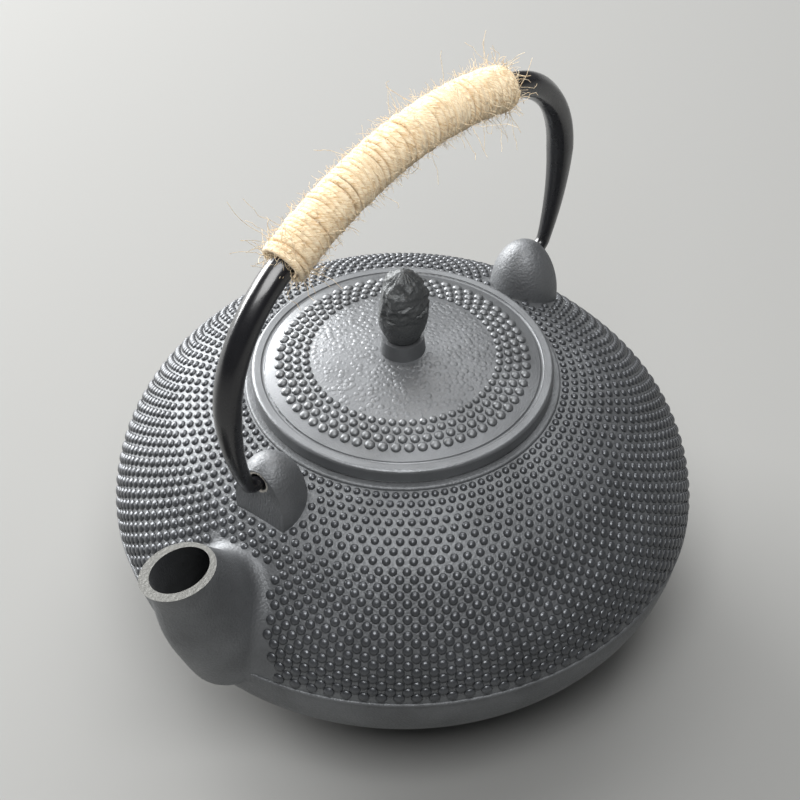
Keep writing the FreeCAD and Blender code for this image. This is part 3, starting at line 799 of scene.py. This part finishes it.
class TEAPOT_OT_pot(bpy.types.Operator):
    """Finishes the pot casting and sets its rows of hobnails"""
    bl_idname = "teapot.pot"
    bl_label = "Pot and hobnails"

    def execute(self, context):
        pot, bail = chosen("pot"), chosen("bail")
        dress("pot_body", pot_iron())
        # The nails are painted darker than the iron between them, as shade for how the light falls on their
        # domes; they are also glossier.
        painted_light_iron = lacquered_iron("cast_iron_nails_rubbed", chosen("colours").nail_iron, 0.5, 0.25, 0.28, 0.38)
        outline = trimmed(shoulder_outline(pot.nail_sunk, 40), pot.nail_start)
        nails = grow("pot_hobnails", line_object(outline), nail_tree(), {
            "Rows": pot.nail_rows, "Nails per row": pot.nails_per_row, "Row spacing": pot.nail_step,
            "Extra spacing": pot.nail_extra, "Wide rows": pot.wide_rows, "First radius": pot.nail_radius_top,
            "Last radius": pot.nail_radius_low, "Height": pot.nail_height,
            "Ear reach": bail.ear_face - bail.ear_depth, "Ear room": bail.ear_room,
            "Ear face": bail.ear_face + bail.ear_gap, "Spout room": pot.spout_room,
            "Spout taper": pot.spout_taper, "Spout root": pot.parting_height, "Spout top": pot.spout_top,
            "Material": painted_light_iron})
        seat(nails, "pot", "cast_iron")
        return {"FINISHED"}


class TEAPOT_OT_lid(bpy.types.Operator):
    """Finishes the lid with its band of nails and its pebbled middle"""
    bl_idname = "teapot.lid"
    bl_label = "Lid relief"

    def execute(self, context):
        lid = chosen("lid")
        # The lid is handled most and shines a little more than the pot.
        iron = lacquered_iron("cast_iron_lid_satin_lacquer", chosen("colours").iron, 0.5, 0.3, 0.34, 0.46)
        for node in ("lid", "knob_collar"):
            dress(node, iron)
        inner = lid.band_radius - lid.band_step * lid.band_rows
        radii = [inner + (lid.band_radius - inner) * i / 12 for i in reversed(range(13))]
        line = [Vector((-r, 0, lid_height(r) - lid.nail_sunk)) for r in radii]
        nails = grow("lid_nails", line_object(line), nail_tree(), {
            "Rows": lid.band_rows, "Nails per row": lid.band_nails, "Row spacing": lid.band_step,
            "First radius": lid.nail_radius, "Last radius": lid.nail_radius * lid.nail_taper,
            "Height": lid.nail_height, "Material": iron})
        seat(nails, "lid", "cast_iron")
        inner_ring, outer_ring, sides, rings = 7.8 * MM, inner + 0.9 * MM, 48, 9
        spots = []
        for i in range(rings + 1):
            radius = inner_ring + (outer_ring - inner_ring) * i / rings
            spots += ring_points(radius, lid_height(radius) - lid.pebble_sunk, sides)
        faces = [(a, d, c, b) for a, b, c, d in ring_faces(rings + 1, sides)]
        pebbles = grow("lid_pebbles", mesh_object("lid_disc", spots, faces=faces), pebble_tree(), {
            "Spacing": lid.pebble_spacing, "Density": 2000000.0, "Radius": lid.pebble_radius,
            "Height": lid.pebble_height, "Seed": 4, "Material": iron})
        seat(pebbles, "lid", "cast_iron")
        return {"FINISHED"}


class TEAPOT_OT_knob(bpy.types.Operator):
    """Carves the bud knob with its rough scales and its stud"""
    bl_idname = "teapot.knob"
    bl_label = "Bud knob"

    def execute(self, context):
        lid = chosen("lid")
        # The bud is rough from the mould, so it is the dullest of the castings; its colour is also set darker
        # than the other iron.
        iron = lacquered_iron("cast_iron_knob_rough", chosen("colours").knob_iron, 0.6, 0.8, 0.42, 0.62)
        rings, sides = 90, 72
        facet = Vector((0.6, -0.74, 0.12)).normalized()
        points = []
        for i in range(rings + 1):
            share = i / rings
            for k in range(sides):
                angle = FULL_TURN * k / sides
                radius = bud_radius(share)
                if 0 < i < rings:
                    radius += bud_relief(share, angle) * min(1, 12 * (1 - share))
                spot = Vector((radius * math.cos(angle), radius * math.sin(angle), lid.knob_height * share))
                over = (spot - UP * lid.knob_wide).dot(facet) - lid.knob_facet
                if over > 0:
                    spot -= facet * over
                points.append(spot + UP * lid.knob_bottom)
        seat(closed_tube("knob_bud", points, sides, iron, 60), "lid", "cast_iron", "lid_knob")
        sides, chamfer = 32, 0.4 * MM
        points = ring_points(lid.stud_radius * 0.8, lid.stud_bottom, sides)
        for height in (lid.stud_bottom + chamfer, lid.knob_bottom):
            points += ring_points(lid.stud_radius, height, sides)
        seat(closed_tube("knob_stud", points, sides, satin_steel()), "lid", "steel")
        return {"FINISHED"}


class TEAPOT_OT_bail(bpy.types.Operator):
    """Forges the bail rod with its soft facets"""
    bl_idname = "teapot.bail"
    bl_label = "Bail"

    def execute(self, context):
        half = bail_path()
        far = [(Vector((-p.x, 0, p.z)), r) for p, r in reversed(half[1:])]
        rod = sweep("bail_rod", far + half, 36, black_enamel(), rod_facets)
        seat(rod, "bail", "black_paint", "bail_handle")
        return {"FINISHED"}


class TEAPOT_OT_grip(bpy.types.Operator):
    """Winds the jute grip and lets its loose fibres stand out"""
    bl_idname = "teapot.grip"
    bl_label = "Jute grip"

    def execute(self, context):
        bail = chosen("bail")
        wound = jute_yarn("jute_spun_yarn_wound", True)
        loose = jute_yarn("jute_loose_fibre", False)
        core_radius = bail.wrap_radius - 1.5 * bail.yarn_radius
        core = sweep("jute_core", [(p, core_radius) for p in crown_points(0.99, 48)], 28, loose)
        seat(core, "bail", "jute", "jute_underlay")
        line = crown_points(1.0, 64)
        yarn = grow("jute_yarn", line_object(line), winding_tree(), {
            "Turns": bail.yarn_turns, "Steps per turn": 26, "Yarn radius": bail.yarn_radius,
            "Winding radius": bail.wrap_radius - bail.yarn_radius, "Unevenness": bail.yarn_lift,
            "Start turn": 0.2, "Material": wound})
        seat(yarn, "bail", "jute", "jute_wrap")
        girth = FULL_TURN * bail.wrap_radius
        area = girth * sum((b - a).length for a, b in zip(line, line[1:]))
        skin = crown_points(1.0, 48)
        tufts = bail.tuft_fibres / (girth * 4 * MM)
        # Each layer: name, path, depth of the roots, fibres to the square metre, shortest and longest fibre,
        # thickness, lean, curl and seed
        layers = (
            ("jute_fuzz", skin, 0.3 * MM, bail.fibre_count / area, 1.2 * MM, 4.0 * MM,
             0.05 * MM, 2.6, 3.0 * MM, 11),
            ("jute_curls", skin, 0.3 * MM, bail.long_fibres / area, 4.0 * MM, bail.fibre_length,
             0.07 * MM, 1.5, 10.0 * MM, 5),
            ("jute_tufts_front", skin[-3:], 0.5 * MM, tufts, 3.0 * MM, 13.0 * MM,
             0.07 * MM, 1.3, 8.0 * MM, 22),
            ("jute_tufts_rear", skin[:3], 0.5 * MM, tufts, 3.0 * MM, 13.0 * MM,
             0.07 * MM, 1.3, 8.0 * MM, 20),
        )
        hairs = fibre_tree()
        for name, path, depth, density, shortest, longest, thickness, lean, curl, seed in layers:
            host = sweep("roots", [(p, bail.wrap_radius - depth) for p in path], 20)
            fibres = grow(name, host, hairs, {
                "Density": density, "Shortest": shortest, "Longest": longest, "Thickness": thickness,
                "Lean": lean, "Curl": curl, "Seed": seed, "Material": loose})
            seat(fibres, "bail", "jute")
        return {"FINISHED"}


class TEAPOT_OT_infuser(bpy.types.Operator):
    """Perforates the infuser's wall and finishes the steel pieces"""
    bl_idname = "teapot.infuser"
    bl_label = "Infuser and fixings"

    def execute(self, context):
        infuser = chosen("infuser")
        steel = satin_steel()
        for node in ("infuser_rim", "infuser_base", "knob_washer", "knob_nut"):
            dress(node, steel)
        low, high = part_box("infuser_basket")
        host = mesh_object("infuser_spot", [Vector((0, 0, 0))])
        wall = grow("infuser_wall", host, sheet_tree(), {
            "Columns": infuser.columns, "Rows": infuser.rows, "Radius": infuser.radius, "Bottom": low.z,
            "Height": high.z - low.z, "Hole share": infuser.hole_share, "Material": steel}, wall=infuser.wall)
        seat(wall, "infuser", "steel", "infuser_basket")
        return {"FINISHED"}


class TEAPOT_OT_stage(bpy.types.Operator):
    """Sets the floor, the soft lights and the camera"""
    bl_idname = "teapot.stage"
    bl_label = "Stage"

    def execute(self, context):
        scene, colours, stage = context.scene, chosen("colours"), chosen("stage")
        scene.view_settings.view_transform = "Standard"
        floor = mesh_object("floor", [(-6, -6, 0), (6, -6, 0), (6, 6, 0), (-6, 6, 0)], faces=[(0, 1, 2, 3)])
        paper, _, shader, _ = new_material("paper_matt_backdrop")
        fill(shader, Base_Color=opaque(colours.floor), Roughness=0.9)
        floor.data.materials.append(paper)
        # A faint sky lights the pot, and the camera alone sees a pale backdrop.
        scene.world = bpy.data.worlds.new("studio")
        scene.world.use_nodes = True
        tree = scene.world.node_tree
        node = functools.partial(add, tree)
        sky = tree.nodes["Background"]
        fill(sky, Color=opaque(colours.sky), Strength=0.1)
        pale = node("Background", Color=opaque(colours.backdrop), Strength=1.0)
        seen = node("LightPath").outputs["Is Camera Ray"]
        mix = node("MixShader", seen, sky, pale)
        fill(tree.nodes["World Output"], Surface=mix)
        for name, spot, wide, tall, power in LAMPS:
            lamp = bpy.data.lights.new(name, "AREA")
            lamp.shape = "RECTANGLE"
            lamp.size, lamp.size_y, lamp.energy = wide, tall, power
            holder = linked_object(name, lamp)
            holder.location = spot
            holder.rotation_mode = "QUATERNION"
            holder.rotation_quaternion = (LAMP_AIM - Vector(spot)).to_track_quat("-Z", "Y")
        camera = linked_object("camera", bpy.data.cameras.new("camera"))
        scene.camera = camera
        level = math.cos(stage.tilt)
        back = Vector((math.sin(stage.turn) * level, -math.cos(stage.turn) * level, math.sin(stage.tilt)))
        right = Vector((math.cos(stage.turn), math.sin(stage.turn), 0))
        # The view is aimed a little to the left of the pot's axis and above its parting line.
        ahead = (-back - right * 0.001 + back.cross(right) * 0.032).normalized()
        side = (right - ahead * right.dot(ahead)).normalized()
        above = side.cross(ahead)
        spot = UP * chosen("pot").parting_height + back * stage.distance
        camera.matrix_world = Matrix.Translation(spot) @ Matrix((side, above, -ahead)).transposed().to_4x4()
        camera.data.sensor_width = 36
        camera.data.lens = stage.lens
        camera.data.clip_start, camera.data.clip_end = 0.01, 50
        return {"FINISHED"}


class TEAPOT_PT_panel(bpy.types.Panel):
    """Lists the teapot's pieces in the sidebar"""
    bl_idname = "TEAPOT_PT_panel"
    bl_label = "Teapot"
    bl_space_type = "VIEW_3D"
    bl_region_type = "UI"
    bl_category = "Teapot"

    def draw(self, context):
        for operator in OPERATORS:
            self.layout.operator(operator.bl_idname)
        for group in GROUPS:
            box = self.layout.box()
            values = getattr(context.scene, group)
            for name in values.__annotations__:
                box.prop(values, name)


OPERATORS = (TEAPOT_OT_pot, TEAPOT_OT_lid, TEAPOT_OT_knob, TEAPOT_OT_bail, TEAPOT_OT_grip,
             TEAPOT_OT_infuser, TEAPOT_OT_stage)
GROUPS = {"teapot_pot": TeapotPot, "teapot_lid": TeapotLid, "teapot_bail": TeapotBail,
          "teapot_infuser": TeapotInfuser, "teapot_colours": TeapotColours, "teapot_stage": TeapotStage}


def register():
    for kind in (*GROUPS.values(), *OPERATORS, TEAPOT_PT_panel):
        bpy.utils.register_class(kind)
    for name, group in GROUPS.items():
        setattr(bpy.types.Scene, name, bpy.props.PointerProperty(type=group))


def unregister():
    for name in GROUPS:
        delattr(bpy.types.Scene, name)
    for kind in (TEAPOT_PT_panel, *reversed(OPERATORS), *reversed(GROUPS.values())):
        bpy.utils.unregister_class(kind)


def main():
    register()
    bpy.ops.teapot.pot()
    bpy.ops.teapot.lid()
    bpy.ops.teapot.knob()
    bpy.ops.teapot.bail()
    bpy.ops.teapot.grip()
    bpy.ops.teapot.infuser()
    bpy.ops.teapot.stage()


if __name__ == "__main__":
    main()
